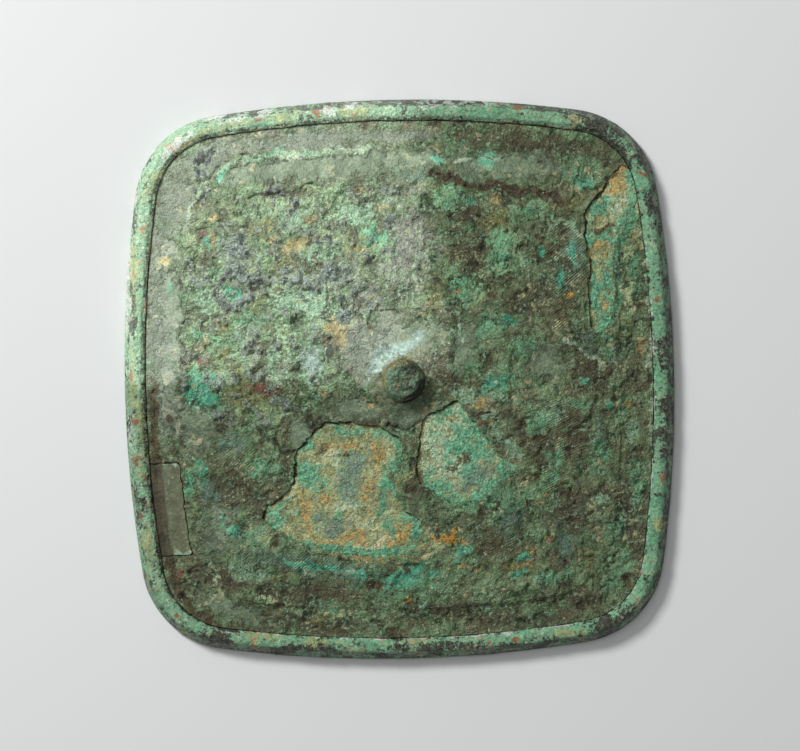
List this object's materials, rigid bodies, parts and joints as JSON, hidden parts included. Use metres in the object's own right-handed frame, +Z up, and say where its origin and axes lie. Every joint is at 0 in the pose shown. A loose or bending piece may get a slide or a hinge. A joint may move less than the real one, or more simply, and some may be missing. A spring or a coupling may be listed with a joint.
{
  "type": "bronze mirror",
  "caption": "Rounded-square bronze mirror with a raised rim, a domed and broken back sheet under thick green patina, and a small pierced cord knob.",
  "frame": {"origin": "centre of the reflecting face that the mirror lies on", "axes": "+Z up out of the mirror's back, towards the knob, +Y towards its top as pictured, +X to the right of the picture"},
  "size_m": [0.15, 0.1526, 0.0173],
  "materials": {
    "rim_bronze": "cast bronze under a powdery pale green crust, worn to dark metal along the edges",
    "face_bronze": "high-tin bronze, once polished to reflect, now a smooth dark skin with green patches",
    "bedding_paste": "lacquer and ash paste stained ochre and green, grainy and matt",
    "sheet_bronze": "thin cast bronze with a satin olive-grey skin, rough green corrosion where the skin is lost",
    "tile_bronze": "the sheet's own bronze, with a smooth grey-brown skin",
    "knob_bronze": "cast bronze, rough, dark green corrosion with ochre round the foot"
  },
  "bodies": {
    "root": {"rim_frame": "rim_bronze", "reflecting_plate": "face_bronze", "bedding_layer": "bedding_paste", "back_sheet": "sheet_bronze", "border_tile": "tile_bronze", "knob": "knob_bronze"}
  },
  "joints": []
}
